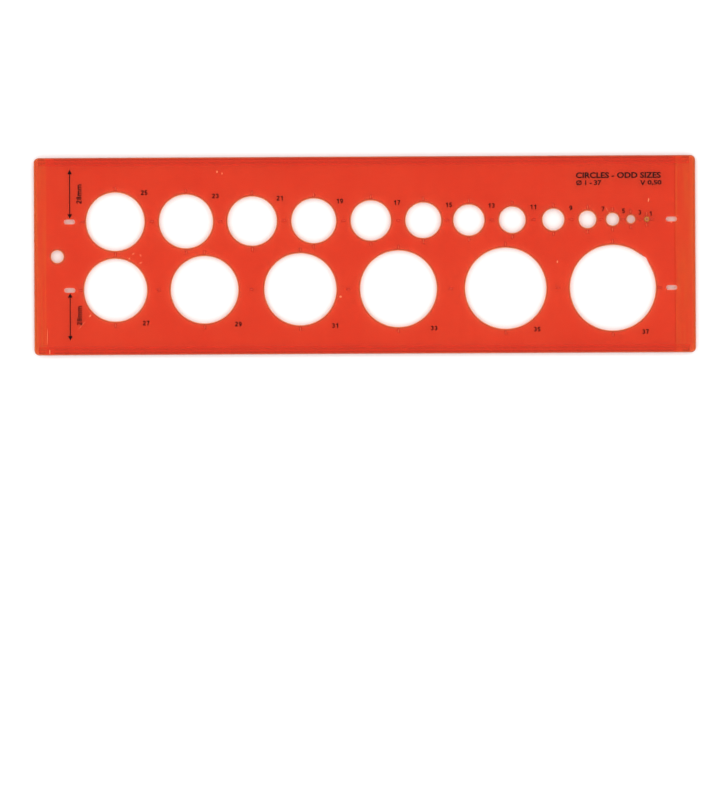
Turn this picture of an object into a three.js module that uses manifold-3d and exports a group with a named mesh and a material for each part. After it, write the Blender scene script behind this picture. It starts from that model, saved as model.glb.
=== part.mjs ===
// Circle template: a translucent orange-red drafting plate with two rows of odd-sized circles,
// a skid rail under each long edge, and hot-stamped sizes, arrows and row distances on its face.
// Millimetres. X runs along the plate, Y across it, Z up. z = 0 is the paper it lies on.
import * as THREE from 'three';
import { mergeVertices } from 'three/addons/utils/BufferGeometryUtils.js';
import Module from 'manifold-3d';

const wasm = await Module();
wasm.setup();

// The plate
const PLATE_LENGTH = 290;
const PLATE_WIDTH = 86.5;
const PLATE_THICKNESS = 1.2;
const CORNER_RADIUS = 2;
const BEVEL_DROP = 0.35;
const LEFT_BEVEL_WIDTH = 5;
const RIGHT_BEVEL_WIDTH = 9;

// The circles. A hole is cut larger than its nominal size, to allow for the pen's line.
const UPPER_ROW_Y = 15.2;
const LOWER_ROW_Y = -14.8;
const FIRST_CIRCLE_X = -109.3;
const PEN_ALLOWANCE = 0.5;
const UPPER_ROW = [
  { size: 25, gapAfter: 7, mark: [12.7, 12.7] },
  { size: 23, gapAfter: 7, mark: [12.9, 11.1] },
  { size: 21, gapAfter: 7, mark: [12.2, 10.0] },
  { size: 19, gapAfter: 7, mark: [11.4, 8.6] },
  { size: 17, gapAfter: 7, mark: [11.5, 7.8] },
  { size: 15, gapAfter: 6, mark: [11.2, 6.7] },
  { size: 13, gapAfter: 7, mark: [9.9, 6.3] },
  { size: 11, gapAfter: 8, mark: [9.3, 5.6] },
  { size: 9, gapAfter: 7, mark: [7.7, 5.1] },
  { size: 7, gapAfter: 5, mark: [6.8, 4.6] },
  { size: 5, gapAfter: 4, mark: [4.8, 3.7] },
  { size: 3, gapAfter: 5, mark: [3.9, 3.0] },
  { size: 1, gapAfter: 0, mark: [1.7, 2.4] },
];
const LOWER_ROW = [
  { size: 27, gapAfter: 11, mark: [13.3, -14.5] },
  { size: 29, gapAfter: 12, mark: [14.7, -15.1] },
  { size: 31, gapAfter: 11, mark: [15.2, -16.0] },
  { size: 33, gapAfter: 13, mark: [15.5, -17.3] },
  { size: 35, gapAfter: 11, mark: [13.7, -18.0] },
  { size: 37, gapAfter: 0, mark: [14.2, -19.3] },
];

// Other holes: a sighting slot at both ends of each row, and the hole it hangs by
const SLOT = { length: 4.8, height: 1.9, leftX: -129.4, rightX: 134.45 };
const HANGING_HOLE = { x: -134.8, diameter: 5.5 };

// Centre ticks: short V grooves cut in the upper face
const TICK = { width: 1.2, depth: 0.35, length: 1.8, clearance: 0.75 };

// The skid rails: a flat flange bonded under the plate, with a runner that the template slides on
const FLANGE = { outer: 0.5, inner: 3.6, thickness: 0.5, leftEnd: 2, rightEnd: 2.7 };
const RUNNER = { outer: 0.9, inner: 2.4, slope: 0.2, height: 0.5, leftGap: 6.9, rightGap: 7.8, gap: 4 };

// Stamped marks
const INK_THICKNESS = 0.05;
const MARK_HEIGHT = 2.05;
const MARK_SPACING = 0.8;
const LEGEND = { height: 2.25, x: -125.2, upperY: 27.4, lowerY: -25.9 };
const ARROW = { x: -129.25, shaft: 0.42, headLength: 2.0, headWidth: 2.0 };
const UPPER_ARROW_ENDS = [16.6, 38.1];
const LOWER_ARROW_ENDS = [-36.8, -16.0];

// Glyphs, in units of the mark's height
const STROKE = 0.2;
const DIGIT_WIDTH = 0.64;
const M_WIDTH = 1.04;
const ARC_STEPS = 8;
const RING_STEPS = 14;

const PLATE_BOTTOM = FLANGE.thickness + RUNNER.height;
const PLATE_TOP = PLATE_BOTTOM + PLATE_THICKNESS;
const HALF_LENGTH = PLATE_LENGTH / 2;
const HALF_WIDTH = PLATE_WIDTH / 2;

const plastic = new THREE.MeshStandardMaterial({ color: 0xe3452c, roughness: 0.25, metalness: 0 });
const railPlastic = new THREE.MeshStandardMaterial({ color: 0xd8382a, roughness: 0.3, metalness: 0 });
const ink = new THREE.MeshStandardMaterial({ color: 0x1c1210, roughness: 0.6, metalness: 0 });

// ---- solids -------------------------------------------------------------------------------

function toSolid(geometry) {
  const bare = geometry.clone();
  bare.deleteAttribute('normal');
  bare.deleteAttribute('uv');
  const merged = mergeVertices(bare);
  const mesh = new wasm.Mesh({
    numProp: 3,
    vertProperties: Float32Array.from(merged.attributes.position.array),
    triVerts: Uint32Array.from(merged.index.array),
  });
  return new wasm.Manifold(mesh);
}

function toMesh(name, solid, material) {
  const { vertProperties, triVerts } = solid.getMesh();
  const geometry = new THREE.BufferGeometry();
  geometry.setAttribute('position', new THREE.BufferAttribute(vertProperties, 3));
  geometry.setIndex(new THREE.BufferAttribute(triVerts, 1));
  const mesh = new THREE.Mesh(geometry, material);
  mesh.name = name;
  return mesh;
}

function union(solids) {
  return solids.reduce((joined, solid) => joined.add(solid));
}

function extrude(shape, height) {
  return new THREE.ExtrudeGeometry(shape, { depth: height, bevelEnabled: false });
}

// ---- outlines -----------------------------------------------------------------------------

function circlePoints(x, y, radius) {
  const sides = 4 * Math.ceil(3.5 + 0.6 * radius);
  return Array.from({ length: sides }, (_, i) => {
    const angle = (2 * Math.PI * i) / sides;
    return new THREE.Vector2(x + radius * Math.cos(angle), y + radius * Math.sin(angle));
  });
}

function slotPoints(x, y) {
  const radius = SLOT.height / 2;
  const reach = SLOT.length / 2 - radius;
  const steps = 6;
  const end = (centreX, from) => Array.from({ length: steps + 1 }, (_, i) => {
    const angle = from + (Math.PI * i) / steps;
    return new THREE.Vector2(centreX + radius * Math.cos(angle), y + radius * Math.sin(angle));
  });
  return [...end(x + reach, -Math.PI / 2), ...end(x - reach, Math.PI / 2)];
}

function plateOutline() {
  const shape = new THREE.Shape();
  const straightX = HALF_LENGTH - CORNER_RADIUS;
  const straightY = HALF_WIDTH - CORNER_RADIUS;
  shape.absarc(straightX, straightY, CORNER_RADIUS, 0, Math.PI / 2);
  shape.absarc(-straightX, straightY, CORNER_RADIUS, Math.PI / 2, Math.PI);
  shape.absarc(-straightX, -straightY, CORNER_RADIUS, Math.PI, 1.5 * Math.PI);
  shape.absarc(straightX, -straightY, CORNER_RADIUS, 1.5 * Math.PI, 2 * Math.PI);
  return shape;
}

// ---- the two rows of circles --------------------------------------------------------------

// Nominal gaps are between nominal edges, so the pitch is half of both sizes plus the gap.
function layOut(row, y) {
  let x = FIRST_CIRCLE_X;
  return row.map((circle, i) => {
    const placed = { ...circle, x, y, radius: (circle.size + PEN_ALLOWANCE) / 2 };
    const next = row[i + 1];
    if (next) x += (circle.size + next.size) / 2 + circle.gapAfter;
    return placed;
  });
}

const upperCircles = layOut(UPPER_ROW, UPPER_ROW_Y);
const lowerCircles = layOut(LOWER_ROW, LOWER_ROW_Y);

// ---- centre ticks -------------------------------------------------------------------------

function tick(x, y, alongX) {
  const section = new THREE.Shape([
    new THREE.Vector2(-TICK.width / 2, 0),
    new THREE.Vector2(0, -TICK.depth),
    new THREE.Vector2(TICK.width / 2, 0),
    new THREE.Vector2(0, TICK.depth),
  ]);
  const geometry = extrude(section, TICK.length);
  geometry.translate(0, 0, -TICK.length / 2);
  geometry.rotateX(Math.PI / 2);
  if (alongX) geometry.rotateZ(Math.PI / 2);
  geometry.translate(x, y, PLATE_TOP);
  return toSolid(geometry);
}

function ticksAboveAndBelow(circles, side) {
  const reach = TICK.clearance + TICK.length / 2;
  return circles.flatMap(({ x, y, radius }, i) => {
    const outward = tick(x, y + side * (radius + reach), false);
    const inward = tick(x, y - side * (radius + reach), false);
    const sharedWithUpperRow = side < 0 && i === 0;
    return sharedWithUpperRow ? [outward] : [outward, inward];
  });
}

function ticksAlong(circles) {
  const first = circles[0];
  const last = circles[circles.length - 1];
  const reach = TICK.clearance + TICK.length / 2;
  const ends = [first.x - first.radius - reach, last.x + last.radius + reach];
  const between = circles.slice(1).map((circle, i) => {
    const before = circles[i];
    return (before.x + before.radius + circle.x - circle.radius) / 2;
  });
  return [...ends, ...between].map((x) => tick(x, first.y, true));
}

// ---- the plate ----------------------------------------------------------------------------

// A wedge that takes the upper face down to BEVEL_DROP at one short end.
function endBevel(side, width) {
  const past = 1;
  const fall = BEVEL_DROP * (1 + past / width);
  const section = new THREE.Shape([
    new THREE.Vector2(HALF_LENGTH - width, 0),
    new THREE.Vector2(HALF_LENGTH + past, -fall),
    new THREE.Vector2(HALF_LENGTH + past, past),
    new THREE.Vector2(HALF_LENGTH - width, past),
  ]);
  const geometry = extrude(section, PLATE_WIDTH + 2 * past);
  geometry.rotateX(Math.PI / 2);
  geometry.translate(0, HALF_WIDTH + past, PLATE_TOP);
  if (side < 0) geometry.rotateZ(Math.PI);
  return toSolid(geometry);
}

function plateSolid() {
  const outline = plateOutline();
  const circles = [...upperCircles, ...lowerCircles];
  const holes = circles.map(({ x, y, radius }) => circlePoints(x, y, radius));
  holes.push(circlePoints(HANGING_HOLE.x, 0, HANGING_HOLE.diameter / 2));
  for (const x of [SLOT.leftX, SLOT.rightX]) {
    for (const y of [UPPER_ROW_Y, LOWER_ROW_Y]) holes.push(slotPoints(x, y));
  }
  outline.holes = holes.map((points) => new THREE.Path(points));
  const geometry = new THREE.ExtrudeGeometry(outline, {
    depth: PLATE_THICKNESS,
    bevelEnabled: false,
    curveSegments: 3,
  });
  geometry.translate(0, 0, PLATE_BOTTOM);
  const ticks = union([
    ...ticksAboveAndBelow(upperCircles, 1),
    ...ticksAboveAndBelow(lowerCircles, -1),
    ...ticksAlong(upperCircles),
    ...ticksAlong(lowerCircles),
  ]);
  return toSolid(geometry)
    .subtract(ticks)
    .subtract(endBevel(-1, LEFT_BEVEL_WIDTH))
    .subtract(endBevel(1, RIGHT_BEVEL_WIDTH));
}

// ---- the skid rails -----------------------------------------------------------------------

// A bar along X whose section is drawn with x as the distance in from the long edge and y as z.
function barAlongX(section, fromX, toX) {
  const geometry = extrude(new THREE.Shape(section.map(([x, y]) => new THREE.Vector2(x, y))), toX - fromX);
  geometry.applyMatrix4(new THREE.Matrix4().makeBasis(
    new THREE.Vector3(0, 1, 0),
    new THREE.Vector3(0, 0, 1),
    new THREE.Vector3(1, 0, 0),
  ));
  geometry.translate(fromX, -HALF_WIDTH, 0);
  return toSolid(geometry);
}

function railSolid() {
  const left = -HALF_LENGTH + FLANGE.leftEnd;
  const right = HALF_LENGTH - FLANGE.rightEnd;
  const flange = [
    [FLANGE.outer, RUNNER.height],
    [FLANGE.inner, RUNNER.height],
    [FLANGE.inner, PLATE_BOTTOM],
    [FLANGE.outer, PLATE_BOTTOM],
  ];
  const rooted = RUNNER.height + FLANGE.thickness / 2;
  const runner = [
    [RUNNER.outer + RUNNER.slope, 0],
    [RUNNER.inner - RUNNER.slope, 0],
    [RUNNER.inner, RUNNER.height],
    [RUNNER.inner, rooted],
    [RUNNER.outer, rooted],
    [RUNNER.outer, RUNNER.height],
  ];
  const leftGap = -HALF_LENGTH + RUNNER.leftGap;
  const rightGap = HALF_LENGTH - RUNNER.rightGap;
  return union([
    barAlongX(flange, left, right),
    barAlongX(runner, left, leftGap - RUNNER.gap / 2),
    barAlongX(runner, leftGap + RUNNER.gap / 2, rightGap - RUNNER.gap / 2),
    barAlongX(runner, rightGap + RUNNER.gap / 2, right),
  ]);
}

// ---- stamped marks ------------------------------------------------------------------------

function arc(x, y, radiusX, radiusY, fromDegrees, toDegrees) {
  const from = THREE.MathUtils.degToRad(fromDegrees);
  const to = THREE.MathUtils.degToRad(toDegrees);
  const curve = new THREE.EllipseCurve(x, y, radiusX, radiusY, from, to, to < from);
  return curve.getPoints(ARC_STEPS);
}

function line(...points) {
  return points.map(([x, y]) => new THREE.Vector2(x, y));
}

// The outline of a pen stroke of even width along an open line, with square ends.
function strokeShape(points) {
  const sides = points.map((point, i) => {
    const before = points[Math.max(i - 1, 0)];
    const after = points[Math.min(i + 1, points.length - 1)];
    const along = after.clone().sub(before).normalize();
    return new THREE.Vector2(-along.y, along.x).multiplyScalar(STROKE / 2);
  });
  const left = points.map((point, i) => point.clone().add(sides[i]));
  const right = points.map((point, i) => point.clone().sub(sides[i]));
  return new THREE.Shape([...left, ...right.reverse()]);
}

function ringShape(x, y, radiusX, radiusY) {
  const oval = (grow) => new THREE.EllipseCurve(x, y, radiusX + grow, radiusY + grow).getPoints(RING_STEPS);
  const shape = new THREE.Shape(oval(STROKE / 2).slice(1));
  shape.holes = [new THREE.Path(oval(-STROKE / 2).slice(1))];
  return shape;
}

// Each glyph is a list of strokes and rings in a box one unit tall.
const GLYPHS = {
  1: () => [
    strokeShape(line([0.42, 0], [0.42, 1])),
    strokeShape(line([0.12, 0.7], [0.42, 0.89])),
  ],
  2: () => [
    strokeShape([...arc(0.32, 0.69, 0.22, 0.215, 170, -35), ...line([0.1, 0.13])]),
    strokeShape(line([0.02, 0.095], [0.62, 0.095])),
  ],
  3: () => [
    strokeShape(arc(0.31, 0.715, 0.2, 0.19, 160, -90)),
    strokeShape(arc(0.31, 0.31, 0.22, 0.215, 90, -160)),
  ],
  5: () => [
    strokeShape(line([0.12, 0.905], [0.58, 0.905])),
    strokeShape(line([0.19, 0.95], [0.12, 0.43])),
    strokeShape(arc(0.31, 0.32, 0.22, 0.225, 140, -155)),
  ],
  7: () => [
    strokeShape(line([0.03, 0.905], [0.61, 0.905])),
    strokeShape(line([0.52, 0.88], [0.37, 0.5], [0.27, 0])),
  ],
  8: () => [
    ringShape(0.32, 0.71, 0.19, 0.195),
    ringShape(0.32, 0.305, 0.225, 0.21),
  ],
  9: () => [
    ringShape(0.32, 0.66, 0.22, 0.245),
    strokeShape(arc(0.3, 0.6, 0.24, 0.51, 10, -120)),
  ],
  m: () => [
    strokeShape(line([0.095, 0], [0.095, 0.74])),
    strokeShape([...arc(0.3, 0.47, 0.21, 0.175, 165, 0), ...line([0.51, 0])]),
    strokeShape([...arc(0.725, 0.47, 0.215, 0.175, 180, 0), ...line([0.94, 0])]),
  ],
};

function glyphMesh(name, character, height) {
  const solid = union(GLYPHS[character]().map((shape) => toSolid(extrude(shape, INK_THICKNESS / height))));
  return toMesh(name, solid.scale([height, height, height]), ink);
}

// The size beside a circle: one digit, or a tens digit and a ones digit, about the mark's centre.
function sizeMark({ size, x, y, mark }) {
  const group = new THREE.Group();
  const digits = String(size).split('');
  const places = digits.length === 2 ? ['_tens', '_ones'] : [''];
  digits.forEach((digit, i) => {
    const mesh = glyphMesh(`mark_${size}${places[i]}`, digit, MARK_HEIGHT);
    const fromCentre = (i - (digits.length - 1) / 2) * MARK_SPACING;
    mesh.position.x = (fromCentre - DIGIT_WIDTH / 2) * MARK_HEIGHT;
    group.add(mesh);
  });
  group.position.set(x + mark[0], y + mark[1] - MARK_HEIGHT / 2, PLATE_TOP);
  return group;
}

// The row's distance from the long edge, "28 mm", read from the bottom to the top.
function distanceLegend(side, y) {
  const group = new THREE.Group();
  const letters = [
    { name: 'digit_2', character: '2', at: 0 },
    { name: 'digit_8', character: '8', at: 0.76 },
    { name: 'letter_m_1', character: 'm', at: 1.54 },
    { name: 'letter_m_2', character: 'm', at: 2.72 },
  ];
  const length = 2.72 + M_WIDTH;
  for (const { name, character, at } of letters) {
    const mesh = glyphMesh(`${side}_legend_${name}`, character, LEGEND.height);
    mesh.position.set((at - length / 2) * LEGEND.height, -LEGEND.height / 2, 0);
    group.add(mesh);
  }
  group.rotation.z = Math.PI / 2;
  group.position.set(LEGEND.x, y, PLATE_TOP);
  return group;
}

// A double-headed arrow from a row of circles to the long edge.
function arrowMesh(name, [low, high]) {
  const half = ARROW.shaft / 2;
  const wing = ARROW.headWidth / 2;
  const points = [
    [0, low],
    [wing, low + ARROW.headLength],
    [half, low + ARROW.headLength],
    [half, high - ARROW.headLength],
    [wing, high - ARROW.headLength],
    [0, high],
    [-wing, high - ARROW.headLength],
    [-half, high - ARROW.headLength],
    [-half, low + ARROW.headLength],
    [-wing, low + ARROW.headLength],
  ];
  const mesh = toMesh(name, toSolid(extrude(new THREE.Shape(line(...points)), INK_THICKNESS)), ink);
  mesh.position.set(ARROW.x, 0, PLATE_TOP);
  return mesh;
}

// ---- the assembly -------------------------------------------------------------------------

const group = new THREE.Group();
group.name = 'circle_template';
group.add(toMesh('template_plate', plateSolid(), plastic));

const lowerRail = toMesh('lower_skid_rail', railSolid(), railPlastic);
group.add(lowerRail);
const upperRail = toMesh('upper_skid_rail', railSolid().mirror([0, 1, 0]), railPlastic);
group.add(upperRail);

for (const circle of [...upperCircles, ...lowerCircles]) group.add(sizeMark(circle));
group.add(arrowMesh('upper_arrow', UPPER_ARROW_ENDS));
group.add(arrowMesh('lower_arrow', LOWER_ARROW_ENDS));
group.add(distanceLegend('upper', LEGEND.upperY));
group.add(distanceLegend('lower', LEGEND.lowerY));

export default group;
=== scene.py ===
import math

import bmesh
import bpy
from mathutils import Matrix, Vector


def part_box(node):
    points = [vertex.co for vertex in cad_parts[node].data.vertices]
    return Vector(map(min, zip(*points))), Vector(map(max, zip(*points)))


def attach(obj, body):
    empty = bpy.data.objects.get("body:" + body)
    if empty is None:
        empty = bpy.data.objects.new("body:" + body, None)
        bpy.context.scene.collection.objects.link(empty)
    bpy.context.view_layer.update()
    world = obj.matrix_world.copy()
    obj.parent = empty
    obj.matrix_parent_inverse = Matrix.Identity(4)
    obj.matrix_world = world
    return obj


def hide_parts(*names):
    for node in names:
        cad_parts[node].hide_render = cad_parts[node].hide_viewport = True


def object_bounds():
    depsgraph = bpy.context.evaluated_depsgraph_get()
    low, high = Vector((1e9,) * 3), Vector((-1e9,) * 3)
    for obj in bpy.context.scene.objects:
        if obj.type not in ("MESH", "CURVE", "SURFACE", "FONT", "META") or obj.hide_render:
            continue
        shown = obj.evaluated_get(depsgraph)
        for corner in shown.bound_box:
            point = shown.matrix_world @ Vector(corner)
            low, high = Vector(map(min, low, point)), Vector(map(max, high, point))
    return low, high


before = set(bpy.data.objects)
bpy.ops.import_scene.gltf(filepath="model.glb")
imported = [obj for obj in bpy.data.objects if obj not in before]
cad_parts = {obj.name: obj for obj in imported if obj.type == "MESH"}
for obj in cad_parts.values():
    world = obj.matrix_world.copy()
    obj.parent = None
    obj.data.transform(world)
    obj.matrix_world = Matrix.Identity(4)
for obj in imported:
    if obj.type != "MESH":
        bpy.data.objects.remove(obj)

cad_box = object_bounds()
MM = 0.001

# ---- Drawing plate -----------------------------------------------------------------------
# One sheet of translucent fluorescent orange-red plastic, 1.2 mm thick, moulded with its holes.
# The long edges and the corners are rounded, and both short ends fall away in a shallow bevel,
# so the plate can be picked up. Every other piece is fixed to it.

plate_low, plate_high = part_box("template_plate")
plate_middle = (plate_low + plate_high) / 2
plate_size = plate_high - plate_low
plate_top = plate_high.z
CORNER_RADIUS = 2.2 * MM
EDGE_ROUNDING = 0.35 * MM
BEVEL_DROP = 0.35 * MM
LEFT_BEVEL = 5 * MM
RIGHT_BEVEL = 9 * MM
BEVEL_FADE = 0.3 * MM
LEFT_END_LINE = 0.75 * MM
RIGHT_END_LINE = 0.7 * MM
LINE_CORE = 0.1 * MM
LINE_REACH = 0.35 * MM


def alone(piece):
    """Selects one object and nothing else, and makes it the active one."""
    bpy.ops.object.select_all(action="DESELECT")
    piece.select_set(True)
    bpy.context.view_layer.objects.active = piece


def settle(piece):
    """Puts a piece's place into its mesh."""
    alone(piece)
    bpy.ops.object.transform_apply(location=True, rotation=True, scale=True)
    return piece


def block(low, high):
    """A plain bar between two corners, as stock to shape."""
    bpy.ops.object.select_all(action="DESELECT")
    bpy.ops.mesh.primitive_cube_add(size=1, location=(low + high) / 2, scale=high - low)
    return settle(bpy.context.object)


def pick(piece, kind, wanted):
    """In edit mode, selects only the faces or edges that wanted() says yes to."""
    bpy.ops.mesh.select_mode(type=kind)
    bpy.ops.mesh.select_all(action="DESELECT")
    shape = bmesh.from_edit_mesh(piece.data)
    shape.normal_update()
    for element in shape.faces if kind == "FACE" else shape.edges:
        if wanted(element):
            element.select_set(True)
    bmesh.update_edit_mesh(piece.data)


def finish_faces(piece, finish, wanted):
    """In edit mode, gives the faces that wanted() says yes to another of the piece's finishes."""
    if finish.name not in piece.data.materials:
        piece.data.materials.append(finish)
    pick(piece, "FACE", wanted)
    piece.active_material_index = piece.data.materials.find(finish.name)
    bpy.ops.object.material_slot_assign()


def joined(pieces):
    bpy.ops.object.select_all(action="DESELECT")
    for piece in pieces:
        piece.select_set(True)
    bpy.context.view_layer.objects.active = pieces[0]
    bpy.ops.object.join()
    return settle(pieces[0])


def cut(piece, cutter):
    """Takes the cutter's shape out of the piece. The cut faces keep the cutter's finish."""
    alone(piece)
    saw = piece.modifiers.new("cut", "BOOLEAN")
    saw.operation = "DIFFERENCE"
    saw.solver = "EXACT"
    saw.material_mode = "TRANSFER"
    saw.object = cutter
    bpy.ops.object.modifier_apply(modifier=saw.name)
    bpy.data.objects.remove(cutter)


def is_upright_edge(edge):
    a, b = (corner.co for corner in edge.verts)
    return abs(a.z - b.z) > 0.9 * (a - b).length


def is_outline_edge(edge):
    """True between the plate's side and its upper or lower face."""
    tilts = [abs(face.normal.z) for face in edge.link_faces]
    return len(tilts) == 2 and min(tilts) < 0.1 and max(tilts) > 0.9


def is_flat(face):
    """True on the upper and lower faces, with the shallow bevels at the short ends."""
    return abs(face.normal.z) > 0.98


def noise(nodes, link, place, stretch, turn=0, detail=3):
    """Noise that varies once in each length of stretch, in millimetres along X, Y and Z."""
    sized = nodes.new("ShaderNodeMapping")
    sized.vector_type = "TEXTURE"
    sized.inputs["Rotation"].default_value = (0, 0, math.radians(turn))
    sized.inputs["Scale"].default_value = [length * MM for length in stretch]
    link(place.outputs["Object"], sized.inputs["Vector"])
    pattern = nodes.new("ShaderNodeTexNoise")
    pattern.inputs["Scale"].default_value = 1
    pattern.inputs["Detail"].default_value = detail
    link(sized.outputs["Vector"], pattern.inputs["Vector"])
    return pattern.outputs["Fac"]


def spread(nodes, link, source, start, stop, low=0.0, high=1.0):
    """The source's values from start to stop, spread from low to high and held beyond them."""
    ranged = nodes.new("ShaderNodeMapRange")
    ranged.inputs["From Min"].default_value = start
    ranged.inputs["From Max"].default_value = stop
    ranged.inputs["To Min"].default_value = low
    ranged.inputs["To Max"].default_value = high
    link(source, ranged.inputs["Value"])
    return ranged.outputs["Result"]


def combined(nodes, link, operation, first, second):
    combination = nodes.new("ShaderNodeMath")
    combination.operation = operation
    link(first, combination.inputs[0])
    link(second, combination.inputs[1])
    return combination.outputs["Value"]


def distance_from(nodes, link, source, line):
    """How far the source's values are from one value, to either side of it."""
    away = nodes.new("ShaderNodeMath")
    away.operation = "SUBTRACT"
    away.inputs[1].default_value = line
    link(source, away.inputs[0])
    distance = nodes.new("ShaderNodeMath")
    distance.operation = "ABSOLUTE"
    link(away.outputs["Value"], distance.inputs[0])
    return distance.outputs["Value"]


def blended(nodes, link, share, first, second):
    """Two colours mixed by share. Each is a plain colour or the output of another mix."""
    mix = nodes.new("ShaderNodeMix")
    mix.data_type = "RGBA"
    link(share, mix.inputs["Factor"])
    colour_sockets = [socket for socket in mix.inputs if socket.type == "RGBA"]
    for socket, colour in zip(colour_sockets, (first, second)):
        if isinstance(colour, tuple):
            socket.default_value = (*colour, 1)
        else:
            link(colour, socket)
    return next(socket for socket in mix.outputs if socket.type == "RGBA")


# The patterns in the plastic: their lengths along X, Y and Z in millimetres, and turns in degrees.
CLOUD = (30, 30, 30)
FLOW_LINE = (2.5, 60, 20)
HAIRLINE, HAIRLINE_TURN = (0.5, 40, 30), 24
CROSSING_HAIRLINE, CROSSING_TURN = (45, 0.6, 30), -9
SCUFF_STREAK = (1.1, 40, 20)
# Painted glow: a steady red emission that stands in for the light the fluorescent dye gives back.
PAINTED_DYE_GLOW = (1.0, 0.04, 0.015, 1)


def dyed_plastic(name, deep, pale, clear, roughness, gloss=0.5, painted_glow=0.042):
    """Dyed plastic: cloudy colour with faint flow lines across the plate, hairline scratches and soft
    ripples. The glow is painted glow: a steady red emission for the light that the fluorescent dye
    gives back, and it shines even with no light on the plastic.
    """
    material = bpy.data.materials.new(name)
    material.use_nodes = True
    nodes = material.node_tree.nodes
    link = material.node_tree.links.new
    shader = nodes["Principled BSDF"]
    shader.inputs["IOR"].default_value = 1.49
    shader.inputs["Transmission Weight"].default_value = clear
    shader.inputs["Specular IOR Level"].default_value = gloss
    # Painted glow from the dye, the same whatever light falls on the plastic.
    shader.inputs["Emission Color"].default_value = PAINTED_DYE_GLOW
    shader.inputs["Emission Strength"].default_value = painted_glow
    place = nodes.new("ShaderNodeTexCoord")

    cloud = noise(nodes, link, place, CLOUD, detail=4)
    flow = noise(nodes, link, place, FLOW_LINE)
    cloudy = spread(nodes, link, cloud, 0.35, 0.65, 0, 0.7)
    streaky = spread(nodes, link, flow, 0.35, 0.65, 0, 0.3)
    colour = blended(nodes, link, combined(nodes, link, "ADD", cloudy, streaky), deep, pale)
    link(colour, shader.inputs["Base Color"])

    hairlines = noise(nodes, link, place, HAIRLINE, turn=HAIRLINE_TURN, detail=2)
    crossing = noise(nodes, link, place, CROSSING_HAIRLINE, turn=CROSSING_TURN, detail=2)
    worn = spread(nodes, link, combined(nodes, link, "MAXIMUM", hairlines, crossing), 0.66, 0.76)
    link(spread(nodes, link, worn, 0, 1, roughness, roughness + 0.12), shader.inputs["Roughness"])

    ripple = nodes.new("ShaderNodeBump")
    ripple.inputs["Strength"].default_value = 0.12
    ripple.inputs["Distance"].default_value = 0.05 * MM
    link(cloud, ripple.inputs["Height"])
    scored = nodes.new("ShaderNodeBump")
    scored.inputs["Strength"].default_value = 0.02
    scored.inputs["Distance"].default_value = -0.01 * MM
    link(worn, scored.inputs["Height"])
    link(ripple.outputs["Normal"], scored.inputs["Normal"])
    link(scored.outputs["Normal"], shader.inputs["Normal"])
    return material


plate_plastic = dyed_plastic(
    "fluorescent_plate_plastic",
    deep=(0.94, 0.148, 0.062),
    pale=(0.96, 0.175, 0.073),
    clear=0.85,
    roughness=0.14,
)
# Sides and rounded edges: the same plastic painted darker and less clear, as painted edge shade.
shaded_edge_plastic = dyed_plastic(
    "shaded_rounded_edge_plastic",
    deep=(0.42, 0.07, 0.012),
    pale=(0.5, 0.1, 0.016),
    clear=0.3,
    roughness=0.25,
    painted_glow=0.02,
)
SCUFFED = (0.92, 0.26, 0.07)
# Painted highlight along the left bevel's crease, painted shade along the right one and inside the ends.
LEFT_BEVEL_HIGHLIGHT = (0.97, 0.26, 0.07)
RIGHT_BEVEL_SHADE = (0.82, 0.11, 0.04)
END_SHADE = (0.68, 0.15, 0.02)


def scuff_ends_with_painted_lines(material):
    """The bevelled ends are handled most: thinner, so paler, and scuffed in streaks across the plate.
    A painted line marks where each bevel starts, a painted highlight at the left bevel and painted
    shade at the right one, and a line of painted shade lies just inside each end.
    """
    nodes = material.node_tree.nodes
    link = material.node_tree.links.new
    colour_socket = nodes["Principled BSDF"].inputs["Base Color"]
    plain_colour = colour_socket.links[0].from_socket
    place = nodes.new("ShaderNodeTexCoord")
    along = nodes.new("ShaderNodeSeparateXYZ")
    link(place.outputs["Object"], along.inputs["Vector"])
    right_line = plate_high.x - RIGHT_BEVEL
    left_line = plate_low.x + LEFT_BEVEL
    right_end = spread(nodes, link, along.outputs["X"], right_line, right_line + BEVEL_FADE)
    left_end = spread(nodes, link, along.outputs["X"], left_line, left_line - BEVEL_FADE)
    ends = combined(nodes, link, "ADD", right_end, left_end)
    streaks = noise(nodes, link, place, SCUFF_STREAK, detail=2)
    scuffed = combined(nodes, link, "MULTIPLY", ends, spread(nodes, link, streaks, 0.4, 0.65, 0.15, 0.9))
    colour = blended(nodes, link, scuffed, plain_colour, SCUFFED)
    # The painted highlight and shade lines at the bevel creases and just inside the ends.
    lines = (
        (left_line, LEFT_BEVEL_HIGHLIGHT),
        (right_line, RIGHT_BEVEL_SHADE),
        (plate_low.x + LEFT_END_LINE, END_SHADE),
        (plate_high.x - RIGHT_END_LINE, END_SHADE),
    )
    for line, line_colour in lines:
        distance = distance_from(nodes, link, along.outputs["X"], line)
        on_line = spread(nodes, link, distance, LINE_CORE, LINE_REACH, 0.8, 0)
        colour = blended(nodes, link, on_line, colour, line_colour)
    link(colour, colour_socket)


def bevel_wedge(side, width):
    """A large block, tilted so that its lower face lies along the bevel at one short end."""
    slope = math.atan2(BEVEL_DROP, width)
    reach = 2 * width
    half = Vector((reach, 1.1 * plate_size.y, reach)) / 2
    wedge = block(-half, half)
    wedge.data.materials.append(plate_plastic)
    wedge.rotation_euler.y = side * slope
    outward = Vector((side * math.cos(slope), 0, -math.sin(slope)))
    upward = Vector((side * math.sin(slope), 0, math.cos(slope)))
    bevel_line = Vector((side * (plate_size.x / 2 - width), 0, plate_top))
    wedge.location = bevel_line + (outward + upward) * reach / 2
    return settle(wedge)


scuff_ends_with_painted_lines(plate_plastic)

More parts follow.
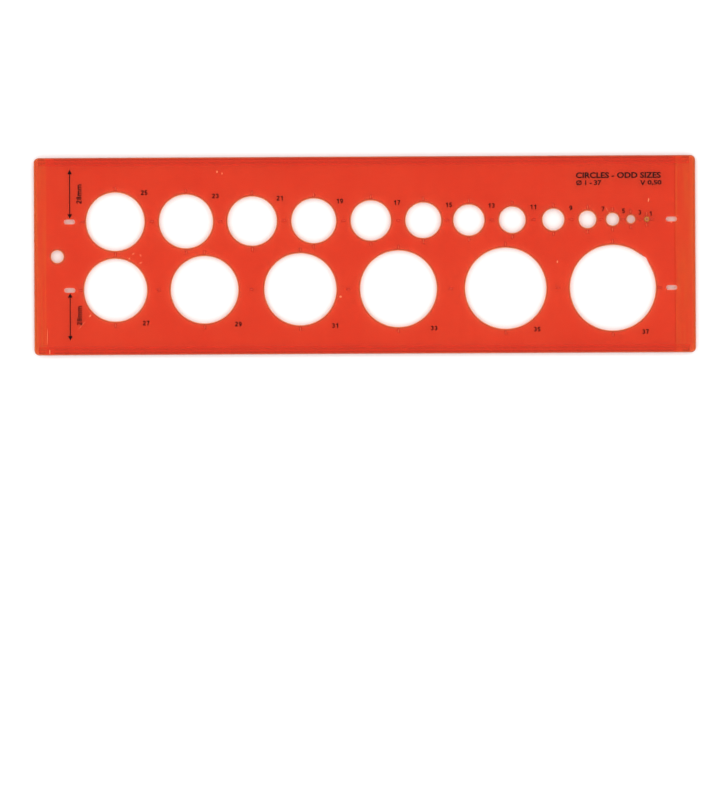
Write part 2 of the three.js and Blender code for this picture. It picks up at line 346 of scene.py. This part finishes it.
plate = block(plate_low, plate_high)
plate.name = "drawing_plate"
plate.data.materials.append(plate_plastic)
bpy.ops.object.mode_set(mode="EDIT")
pick(plate, "EDGE", is_upright_edge)
bpy.ops.mesh.bevel(offset=CORNER_RADIUS, segments=10, affect="EDGES")
bpy.ops.object.mode_set(mode="OBJECT")

cut(plate, bevel_wedge(-1, LEFT_BEVEL))
cut(plate, bevel_wedge(1, RIGHT_BEVEL))

bpy.ops.object.mode_set(mode="EDIT")
pick(plate, "EDGE", is_outline_edge)
bpy.ops.mesh.bevel(offset=EDGE_ROUNDING, segments=3, affect="EDGES")
# The sides and rounded edges take the painted edge shade.
finish_faces(plate, shaded_edge_plastic, lambda face: not is_flat(face))
bpy.ops.object.mode_set(mode="OBJECT")

# ---- The circles, slots and hanging hole -------------------------------------------------
# Two rows of odd sizes, falling from 25 to 1 mm above and rising from 27 to 37 mm below, each hole
# larger than its size by the width of the pen's line. The rims are dressed on both faces with a
# narrow sunken land, painted darker as painted shade round each hole, and a small chamfer. The four
# sighting slots have flared mouths, with their walls painted a pale cream as painted light in the slots.

# Rows are places in Y, and centres are places in X.
UPPER_ROW = 15.2 * MM
LOWER_ROW = -14.8 * MM
FIRST_CENTRE = -109.3 * MM
PEN_ALLOWANCE = 0.5 * MM
UPPER_SIZES = (25, 23, 21, 19, 17, 15, 13, 11, 9, 7, 5, 3, 1)
UPPER_GAPS = (7, 7, 7, 7, 7, 6, 7, 8, 7, 5, 4, 5)
LOWER_SIZES = (27, 29, 31, 33, 35, 37)
LOWER_GAPS = (11, 12, 11, 13, 11)
LAND_WIDTH = 0.75 * MM
LAND_DEPTH = 0.02 * MM
LIP = 0.26 * MM
MOUTH_DEPTH = 0.3 * MM
MOUTH_WIDENING = (1.1, 1.12)
HANGING_CENTRE = -134.8 * MM
HANGING_RADIUS = 2.75 * MM
SLOT_CENTRES = (-129.4 * MM, 134.45 * MM)
SLOT_LENGTH = 4.5 * MM
SLOT_HEIGHT = 1.9 * MM
SLOT_ROUNDING = 0.48 * SLOT_HEIGHT
OVERRUN = 1 * MM

# The land is the same plastic painted darker: painted shade in a ring round each hole.
shaded_land_plastic = dyed_plastic(
    "shaded_rim_land_plastic",
    deep=(0.62, 0.09, 0.035),
    pale=(0.66, 0.11, 0.04),
    clear=0.8,
    roughness=0.3,
    painted_glow=0.02,
)
lip_plastic = dyed_plastic(
    "cut_lip_plastic",
    deep=(0.93, 0.33, 0.08),
    pale=(0.96, 0.41, 0.12),
    clear=0.5,
    roughness=0.35,
    gloss=0.2,
    painted_glow=0.03,
)
# A dark yellow, nearly opaque bore finish that keeps light out of the smallest hole: painted shade.
dark_bore_plastic = dyed_plastic(
    "dark_yellow_bore_plastic",
    deep=(0.6, 0.3, 0.02),
    pale=(0.8, 0.45, 0.05),
    clear=0.2,
    roughness=0.6,
    gloss=0.2,
    painted_glow=0,
)
# Slot walls in a near-white cream: painted light that brightens the slots.
pale_slot_plastic = dyed_plastic(
    "painted_light_slot_plastic",
    deep=(0.98, 0.82, 0.7),
    pale=(0.99, 0.9, 0.8),
    clear=0.85,
    roughness=0.4,
    gloss=0.2,
    painted_glow=0.02,
)


def row_of_circles(sizes, gaps, y):
    """The centre and radius of each circle, left to right. Gaps are between nominal edges."""
    circles = []
    x = FIRST_CENTRE
    for place, size in enumerate(sizes):
        circles.append((x, y, (size * MM + PEN_ALLOWANCE) / 2))
        if place < len(gaps):
            x += ((size + sizes[place + 1]) / 2 + gaps[place]) * MM
    return circles


upper_circles = row_of_circles(UPPER_SIZES, UPPER_GAPS, UPPER_ROW)
lower_circles = row_of_circles(LOWER_SIZES, LOWER_GAPS, LOWER_ROW)


def faces_up(face):
    return face.normal.z > 0.9


def faces_down(face):
    return face.normal.z < -0.9


def widen_ends(punch, x, y, steps):
    """Draws out both ends of a punch. Each step is a rise, then how much wider it gets in X and Y."""
    for way, faces_outward in ((1, faces_up), (-1, faces_down)):

        def is_end(face):
            return faces_outward(face) and way * (face.calc_center_median().z - plate_middle.z) > 0

        pick(punch, "FACE", is_end)
        for rise, share_x, share_y in steps:
            bpy.ops.mesh.extrude_region_move(TRANSFORM_OT_translate={"value": (0, 0, way * rise)})
            bpy.ops.transform.resize(value=(share_x, share_y, 1), center_override=(x, y, 0))


def round_punch(x, y, radius, finish=lip_plastic):
    """A round bar that widens at both ends into the chamfer and the land, with the finish in its bore
    and on its chamfers. A larger hole has more sides, always in fours.
    """
    bpy.ops.object.select_all(action="DESELECT")
    bpy.ops.mesh.primitive_cylinder_add(
        vertices=4 * math.ceil(6 + radius / MM),
        radius=radius,
        depth=plate_size.z - 2 * (LIP + LAND_DEPTH),
        location=(x, y, plate_middle.z),
    )
    punch = settle(bpy.context.object)
    punch.data.materials.append(finish)
    bpy.ops.object.mode_set(mode="EDIT")
    lip_share = (radius + LIP) / radius
    land_share = (radius + LAND_WIDTH) / (radius + LIP)
    chamfer = (LIP, lip_share, lip_share)
    land = (0, land_share, land_share)
    past_the_face = (LAND_DEPTH + OVERRUN, 1, 1)
    widen_ends(punch, x, y, (chamfer, land, past_the_face))

    def is_beyond_the_lip(face):
        reach = max((corner.co.xy - Vector((x, y))).length for corner in face.verts)
        return reach > radius + LIP + 0.01 * MM

    # The land faces take the painted ring of shade.
    finish_faces(punch, shaded_land_plastic, is_beyond_the_lip)
    bpy.ops.object.mode_set(mode="OBJECT")
    return punch


def slot_punch(x, y):
    """A bar that is rounded until its ends are nearly half round, and that flares at both mouths."""
    half = Vector((SLOT_LENGTH, SLOT_HEIGHT, plate_size.z - 2 * MOUTH_DEPTH)) / 2
    centre = Vector((x, y, plate_middle.z))
    punch = block(centre - half, centre + half)
    punch.data.materials.append(pale_slot_plastic)
    bpy.ops.object.mode_set(mode="EDIT")
    pick(punch, "EDGE", is_upright_edge)
    bpy.ops.mesh.bevel(offset=SLOT_ROUNDING, segments=8, affect="EDGES")
    widen_ends(punch, x, y, ((MOUTH_DEPTH, *MOUTH_WIDENING), (OVERRUN, 1, 1)))
    bpy.ops.object.mode_set(mode="OBJECT")
    return punch


# The smallest circle's bore is dark yellow and nearly opaque, so little light reaches the table in
# it: painted shade in the hole.
punches = [round_punch(*circle) for circle in upper_circles[:-1] + lower_circles]
punches.append(round_punch(*upper_circles[-1], finish=dark_bore_plastic))
punches.append(round_punch(HANGING_CENTRE, 0, HANGING_RADIUS))
punches += [slot_punch(x, y) for x in SLOT_CENTRES for y in (UPPER_ROW, LOWER_ROW)]
cut(plate, joined(punches))

# ---- Centre ticks ------------------------------------------------------------------------
# Short grooves with sloping flanks and a narrow flat root, pressed into the upper face above,
# below and between the circles, to line a circle up on drawn centre lines. Their flanks are painted
# dark as painted shade, and the root is painted light as a painted highlight, less so on the ticks
# that lie along the rows.

TICK_WIDTH = 1.2 * MM
TICK_DEPTH = 0.35 * MM
TICK_LENGTH = 1.8 * MM
TICK_CLEARANCE = 0.75 * MM
ROOT_WIDTH_SHARE = 0.25 * MM / TICK_WIDTH
ROOT_LENGTH_SHARE = 0.8

# Painted shade on the flanks, and painted highlights of two strengths in the roots.
shaded_flank_plastic = dyed_plastic(
    "shaded_tick_flank_plastic",
    deep=(0.5, 0.03, 0.01),
    pale=(0.56, 0.04, 0.015),
    clear=0.2,
    roughness=0.5,
    gloss=0.1,
)
highlit_root_plastic = dyed_plastic(
    "highlit_tick_root_plastic",
    deep=(0.93, 0.2, 0.07),
    pale=(0.96, 0.25, 0.09),
    clear=0.6,
    roughness=0.4,
    gloss=0.2,
)
shaded_root_plastic = dyed_plastic(
    "shaded_tick_root_plastic",
    deep=(0.8, 0.1, 0.04),
    pale=(0.84, 0.12, 0.05),
    clear=0.6,
    roughness=0.4,
    gloss=0.1,
)


def tick_tool(root_finish):
    """A bar along Y. Its lower half tapers to the root, and its upper half stands above the plate."""
    half = Vector((TICK_WIDTH, TICK_LENGTH, TICK_DEPTH)) / 2
    tool = block(-half, half)
    tool.data.materials.append(shaded_flank_plastic)
    bpy.ops.object.mode_set(mode="EDIT")
    pick(tool, "FACE", faces_down)
    root_shares = (ROOT_WIDTH_SHARE, ROOT_LENGTH_SHARE, 1)
    bpy.ops.transform.resize(value=root_shares, center_override=(0, 0, 0))
    finish_faces(tool, root_finish, faces_down)
    pick(tool, "FACE", faces_up)
    bpy.ops.mesh.extrude_region_move(TRANSFORM_OT_translate={"value": (0, 0, TICK_DEPTH)})
    bpy.ops.object.mode_set(mode="OBJECT")
    return tool


def copy_of(tool, x, y, turn=0.0):
    """Another of the same tool, with its own mesh, set down at a place on the plate's face."""
    alone(tool)
    bpy.ops.object.duplicate(linked=False)
    twin = bpy.context.object
    twin.location = (x, y, plate_top - TICK_DEPTH / 2)
    twin.rotation_euler.z = turn
    return twin


def tick_places(circles, side):
    """Where a row's ticks go: above and below each circle, and along the row between circles. The
    first circles of the two rows share the tick between them, so the lower row has one less.
    """
    beyond = TICK_CLEARANCE + TICK_LENGTH / 2
    row = circles[0][1]
    inner_circles = circles if side > 0 else circles[1:]
    places = [(x, y + side * (radius + beyond), 0) for x, y, radius in circles]
    places += [(x, y - side * (radius + beyond), 0) for x, y, radius in inner_circles]
    spans = [(x - radius, x + radius) for x, y, radius in circles]
    along = [(before[1] + after[0]) / 2 for before, after in zip(spans, spans[1:])]
    along += [spans[0][0] - beyond, spans[-1][1] + beyond]
    return places + [(x, row, math.pi / 2) for x in along]


# Ticks across the rows get the brighter painted highlight in the root, ticks along the rows the duller
# one.
highlit_tick = tick_tool(highlit_root_plastic)
shaded_root_tick = tick_tool(shaded_root_plastic)
tick_cutters = []
for x, y, turn in tick_places(upper_circles, 1) + tick_places(lower_circles, -1):
    tick_cutters.append(copy_of(shaded_root_tick if turn else highlit_tick, x, y, turn))
bpy.data.objects.remove(highlit_tick)
bpy.data.objects.remove(shaded_root_tick)
cut(plate, joined(tick_cutters))

# ---- Wear on the plate -------------------------------------------------------------------
# Scratches and specks that use has left in the upper face, each a shallow gouge with a pale rough
# bottom. The rim of the largest circle is chipped, and so is one slot.

# Each gouge: X, Y, length and width in millimetres, and its turn in degrees.
GOUGES = (
    (-101.5, 1.1, 1.2, 0.35, 40),
    (-98.3, 0.4, 1.3, 0.3, -60),
    (-98.3, -2.9, 1.3, 0.35, 35),
    (-103.2, -1.0, 0.8, 0.5, 60),
    (-64.6, 36.9, 1.1, 0.7, 90),
    (-62.4, 36.1, 0.9, 0.45, 90),
    (-10.7, -18.1, 1.1, 0.8, 0),
    (84.4, -3.3, 1.2, 0.5, 90),
    (-139.3, -35.0, 7.3, 0.18, 88),
    (-138.3, -41.7, 1.9, 0.45, 90),
    (-120.5, -26.0, 1.3, 0.5, 45),
    (-124.2, -30.2, 5.0, 0.14, 48),
    (124.5, 23.6, 1.6, 0.55, 82),
    (106.2, 19.6, 2.6, 0.14, -62),
    (107.3, 18.1, 0.7, 0.4, -60),
)
GOUGE_DEPTH = 0.04 * MM
CHIP_REACH = 0.84 * MM
CHIP_TURN = math.radians(41.6)
CHIP_SIZE = (6.1 * MM, 1.07 * MM)
NOTCH_SIZE = (0.6 * MM, 0.8 * MM)
NOTCH_DEPTH = 0.5 * MM
NOTCH_OVERLAP = 0.1 * MM

gouged_plastic = dyed_plastic(
    "gouged_plastic",
    deep=(0.96, 0.3, 0.12),
    pale=(0.98, 0.4, 0.17),
    clear=0.5,
    roughness=0.5,
    gloss=0.2,
    painted_glow=0.04,
)


def gouge_tool(x, y, length, width, turn):
    """A flattened ball, half sunk in the plate's upper face."""
    bpy.ops.object.select_all(action="DESELECT")
    bpy.ops.mesh.primitive_uv_sphere_add(
        segments=16,
        ring_count=8,
        radius=1,
        location=(x * MM, y * MM, plate_top),
        rotation=(0, 0, math.radians(turn)),
        scale=(length * MM / 2, width * MM / 2, GOUGE_DEPTH),
    )
    tool = settle(bpy.context.object)
    tool.data.materials.append(gouged_plastic)
    return tool


def chip_tool(circle):
    """A flat three-sided bar with its blunt corner beyond the circle's rim."""
    x, y, radius = circle
    outward = Vector((math.cos(CHIP_TURN), math.sin(CHIP_TURN), 0))
    centre = Vector((x, y, plate_middle.z)) + outward * (radius + CHIP_REACH - CHIP_SIZE[1])
    bpy.ops.object.select_all(action="DESELECT")
    bpy.ops.mesh.primitive_cylinder_add(
        vertices=3,
        radius=1,
        depth=1,
        location=centre,
        rotation=(0, 0, CHIP_TURN - math.pi / 2),
        scale=(*CHIP_SIZE, 2 * plate_size.z),
    )
    tool = settle(bpy.context.object)
    tool.data.materials.append(lip_plastic)
    return tool


def notch_tool(x, y):
    """A small block under the middle of a slot."""
    rim = Vector((x, y - SLOT_HEIGHT / 2, plate_top))
    low = rim - Vector((NOTCH_SIZE[0] / 2, NOTCH_SIZE[1], NOTCH_DEPTH))
    high = rim + Vector((NOTCH_SIZE[0] / 2, NOTCH_OVERLAP, OVERRUN))
    tool = block(low, high)
    tool.data.materials.append(gouged_plastic)
    return tool


cut(plate, joined([chip_tool(lower_circles[-1]), notch_tool(SLOT_CENTRES[1], UPPER_ROW)]))
cut(plate, joined([gouge_tool(*gouge) for gouge in GOUGES]))

# ---- Finished plate ----------------------------------------------------------------------
# The sheet with all that is cut into it: holes, slots, ticks and wear. It is still one moulding,
# and it carries the two rails and the stamped marks.

settle(plate)
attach(plate, "root")
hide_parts("template_plate")

# ---- Skid rails --------------------------------------------------------------------------
# A redder strip of the same plastic bonded under each long edge. Its runner holds the drawing
# edge off the paper, so that ink doesn't creep under it. The runner is broken near both ends,
# where the strip can be lifted off. Its sloping flanks and the lines above them are painted dark,
# as painted shade of the flanks seen through the plate.

FLANGE_THICKNESS = 0.5 * MM
GLUE_LINE = 0.02 * MM
RUNNER_OUTER = 0.9 * MM
RUNNER_INNER = 2.4 * MM
RUNNER_SLOPE = 0.2 * MM
RUNNER_GAP = 4 * MM
LEFT_GAP = 6.9 * MM
RIGHT_GAP = 7.8 * MM
GAP_CENTRES = (plate_low.x + LEFT_GAP, plate_high.x - RIGHT_GAP)
GAP_FADE = 0.3 * MM

rail_plastic = dyed_plastic(
    "rail_strip_plastic",
    deep=(0.98, 0.15, 0.075),
    pale=(0.99, 0.17, 0.085),
    clear=0.92,
    roughness=0.2,
    painted_glow=0.085,
)
# The runner's flanks: the same plastic painted darker, as painted shade.
shaded_rail_flank_plastic = dyed_plastic(
    "shaded_rail_flank_plastic",
    deep=(0.6, 0.05, 0.04),
    pale=(0.66, 0.07, 0.05),
    clear=0.5,
    roughness=0.4,
)
# How light the strip is painted, from its outer side to its inner side: painted shade where the
# runner's flanks are.
BAND_PLACES = (0.0, 0.13, 0.23, 0.35, 0.5, 0.61, 0.8, 0.97)
BAND_LIGHTNESS = (0.0, 0.05, 0.55, 1.0, 0.75, 0.6, 0.75, 0.95)
BAND_SHADE = (0.42, 0.02, 0.015)


def paint_shade_bands(material, outer, inner):
    """Darkens the strip's colour in lines along it, by the distance from the long edge, except where
    the runner is broken: painted shade where the runner's flanks are seen through the plate.
    """
    nodes = material.node_tree.nodes
    link = material.node_tree.links.new
    colour_socket = nodes["Principled BSDF"].inputs["Base Color"]
    plain_colour = colour_socket.links[0].from_socket
    place = nodes.new("ShaderNodeTexCoord")
    across = nodes.new("ShaderNodeSeparateXYZ")
    link(place.outputs["Object"], across.inputs["Vector"])
    from_middle = nodes.new("ShaderNodeMath")
    from_middle.operation = "ABSOLUTE"
    link(across.outputs["Y"], from_middle.inputs[0])
    bands = nodes.new("ShaderNodeValToRGB")
    stops = bands.color_ramp.elements
    while len(stops) < len(BAND_PLACES):
        stops.new(0.5)
    for stop, at, lightness in zip(stops, BAND_PLACES, BAND_LIGHTNESS):
        stop.position = at
        stop.color = (lightness, lightness, lightness, 1)
    link(spread(nodes, link, from_middle.outputs["Value"], outer, inner), bands.inputs["Fac"])
    lightness = bands.outputs["Color"]
    half_gap = RUNNER_GAP / 2
    for gap in GAP_CENTRES:
        distance = distance_from(nodes, link, across.outputs["X"], gap)
        in_gap = spread(nodes, link, distance, half_gap - GAP_FADE, half_gap + GAP_FADE, 0.8, 0)
        lightness = combined(nodes, link, "MAXIMUM", lightness, in_gap)
    link(blended(nodes, link, lightness, BAND_SHADE, plain_colour), colour_socket)


strip_low, strip_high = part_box("upper_skid_rail")
paint_shade_bands(rail_plastic, outer=strip_high.y, inner=strip_low.y)

for side, name in ((1, "upper_skid_rail"), (-1, "lower_skid_rail")):
    low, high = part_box(name)
    edge = side * plate_high.y
    low.z = high.z - FLANGE_THICKNESS
    high.z -= GLUE_LINE
    rail = block(low, high)
    rail.name = name.replace("rail", "strip")
    rail.data.materials.append(rail_plastic)
    bpy.ops.object.mode_set(mode="EDIT")
    for gap in GAP_CENTRES:
        for x in (gap - RUNNER_GAP / 2, gap + RUNNER_GAP / 2):
            bpy.ops.mesh.select_all(action="SELECT")
            bpy.ops.mesh.bisect(plane_co=(x, 0, 0), plane_no=(1, 0, 0))
    for inset in (RUNNER_OUTER, RUNNER_INNER):
        bpy.ops.mesh.select_all(action="SELECT")
        bpy.ops.mesh.bisect(plane_co=(0, edge - side * inset, 0), plane_no=(0, 1, 0))

    def is_runner_root(face):
        centre = face.calc_center_median()
        inset = side * (edge - centre.y)
        in_gap = any(abs(centre.x - gap) < RUNNER_GAP / 2 for gap in GAP_CENTRES)
        return faces_down(face) and RUNNER_OUTER < inset < RUNNER_INNER and not in_gap

    def is_runner_flank(face):
        return abs(face.normal.y) > 0.1 and face.calc_center_median().z < low.z

    pick(rail, "FACE", is_runner_root)
    bpy.ops.mesh.extrude_region_move(TRANSFORM_OT_translate={"value": (0, 0, cad_box[0][2] - low.z)})
    middle = edge - side * (RUNNER_OUTER + RUNNER_INNER) / 2
    width = RUNNER_INNER - RUNNER_OUTER
    narrowing = 1 - 2 * RUNNER_SLOPE / width
    bpy.ops.transform.resize(value=(1, narrowing, 1), center_override=(0, middle, 0))
    finish_faces(rail, shaded_rail_flank_plastic, is_runner_flank)
    bpy.ops.object.mode_set(mode="OBJECT")
    settle(rail)
    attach(rail, "root")
    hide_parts(name)

# ---- Stamped marks -----------------------------------------------------------------------
# Black film transferred from a hot stamping foil: the size beside each circle, a double-headed
# arrow from each row to its long edge with the distance beside it, and the title and pen width
# at the upper right. The film is thin, so it is rubbed brown in places.

INK_THICKNESS = 0.05 * MM
FILM_BLACK = (0.003, 0.002, 0.002)
RUBBED_BROWN = (0.03, 0.005, 0.003)
RUBBED_SPOT = (0.5, 0.5, 0.5)


def stamped_film(name):
    material = bpy.data.materials.new(name)
    material.use_nodes = True
    nodes = material.node_tree.nodes
    link = material.node_tree.links.new
    shader = nodes["Principled BSDF"]
    shader.inputs["Specular IOR Level"].default_value = 0.1
    place = nodes.new("ShaderNodeTexCoord")
    rubbed = spread(nodes, link, noise(nodes, link, place, RUBBED_SPOT, detail=4), 0.5, 0.72)
    link(blended(nodes, link, rubbed, FILM_BLACK, RUBBED_BROWN), shader.inputs["Base Color"])
    link(spread(nodes, link, rubbed, 0, 1, 0.38, 0.65), shader.inputs["Roughness"])
    pitted = nodes.new("ShaderNodeBump")
    pitted.inputs["Strength"].default_value = 0.3
    pitted.inputs["Distance"].default_value = 0.01 * MM
    link(rubbed, pitted.inputs["Height"])
    link(pitted.outputs["Normal"], shader.inputs["Normal"])
    return material


stamp_ink = stamped_film("black_stamping_film")
for name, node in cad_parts.items():
    if name.startswith("mark_") or "arrow" in name or "legend" in name:
        node.material_slots[0].material = stamp_ink


def stamped_words(name, words, left, right, bottom, height):
    """Words stamped between two places on the plate, all in millimetres. They are drawn one unit high,
    with their strokes a little thickened, and then brought to size.
    """
    bpy.ops.object.select_all(action="DESELECT")
    bpy.ops.object.text_add()
    stamp = bpy.context.object
    stamp.name = name
    stamp.data.body = words
    stamp.data.resolution_u = 3
    stamp.data.offset = 0.028
    bpy.ops.object.convert(target="MESH")
    bpy.ops.object.mode_set(mode="EDIT")
    bpy.ops.mesh.select_all(action="SELECT")
    bpy.ops.mesh.remove_doubles(threshold=0.0005)
    bpy.ops.mesh.extrude_region_move(TRANSFORM_OT_translate={"value": (0, 0, 1)})
    bpy.ops.mesh.select_all(action="SELECT")
    bpy.ops.mesh.normals_make_consistent(inside=False)
    bpy.ops.object.mode_set(mode="OBJECT")
    corners = [corner.co for corner in stamp.data.vertices]
    start = Vector([min(corner[axis] for corner in corners) for axis in range(3)])
    end = Vector([max(corner[axis] for corner in corners) for axis in range(3)])
    extent = end - start
    stamp.scale = ((right - left) * MM / extent.x, height * MM / extent.y, INK_THICKNESS / extent.z)
    stamp.location = Vector((left * MM, bottom * MM, plate_top)) - start * stamp.scale
    settle(stamp)
    stamp.data.materials.append(stamp_ink)
    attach(stamp, "root")


stamped_words("title_words", "CIRCLES - ODD SIZES", left=92.7, right=129.9, bottom=33.25, height=2.6)
stamped_words("size_range", "Ø 1 - 37", left=92.8, right=103.8, bottom=30.2, height=2.2)
stamped_words("nib_mark", "V", left=120.9, right=123.1, bottom=30.0, height=2.2)
stamped_words("pen_width", "0,50", left=124.1, right=130.2, bottom=30.0, height=2.3)

# ---- Stage, light and camera -------------------------------------------------------------
# A plain white table under a soft even sky that is dim straight overhead, so the gloss of the
# plate doesn't veil its colour, with three soft lamps round it, and a camera straight above.

bpy.ops.mesh.primitive_plane_add(size=6, location=(0, 0, cad_box[0][2] - 0.02 * MM))
table = bpy.context.object
table.name = "table_top"
white = bpy.data.materials.new("white_table")
white.use_nodes = True
table_paint = white.node_tree.nodes["Principled BSDF"]
table_paint.inputs["Base Color"].default_value = (0.95, 0.95, 0.95, 1)
table_paint.inputs["Roughness"].default_value = 0.9
table_paint.inputs["Specular IOR Level"].default_value = 0
table.data.materials.append(white)

world = bpy.data.worlds.new("soft_room")
world.use_nodes = True
world_nodes = world.node_tree.nodes
world_link = world.node_tree.links.new
direction = world_nodes.new("ShaderNodeTexCoord")
height = world_nodes.new("ShaderNodeSeparateXYZ")
world_link(direction.outputs["Generated"], height.inputs["Vector"])
overhead = spread(world_nodes, world_link, height.outputs["Z"], 0.87, 0.985, 1.08, 0.2)
world_link(overhead, world_nodes["Background"].inputs["Strength"])
world_nodes["Background"].inputs["Color"].default_value = (1, 1, 1, 1)
bpy.context.scene.world = world

LAMP_PLACES = ((-1, 0.4), (1, 0.4), (0, -1.1))
for x, y in LAMP_PLACES:
    bpy.ops.object.light_add(type="AREA", location=(x, y, 0.9))
    lamp = bpy.context.object
    lamp.data.size = 1.2
    lamp.data.energy = 4
    lamp.rotation_euler = (-lamp.location).to_track_quat("-Z", "Y").to_euler()

PICTURE_HEIGHT = 350.7 * MM
TILT = math.radians(0.285)
OFF_CENTRE = Vector((-0.57, -63.48, 0)) * MM
bpy.ops.object.camera_add(location=(0, 0, 0.8), rotation=(0, 0, -TILT))
camera = bpy.context.object
camera.data.type = "ORTHO"
camera.data.ortho_scale = PICTURE_HEIGHT
camera.location += camera.rotation_euler.to_matrix() @ OFF_CENTRE
bpy.context.scene.camera = camera
bpy.context.scene.view_settings.view_transform = "Standard"
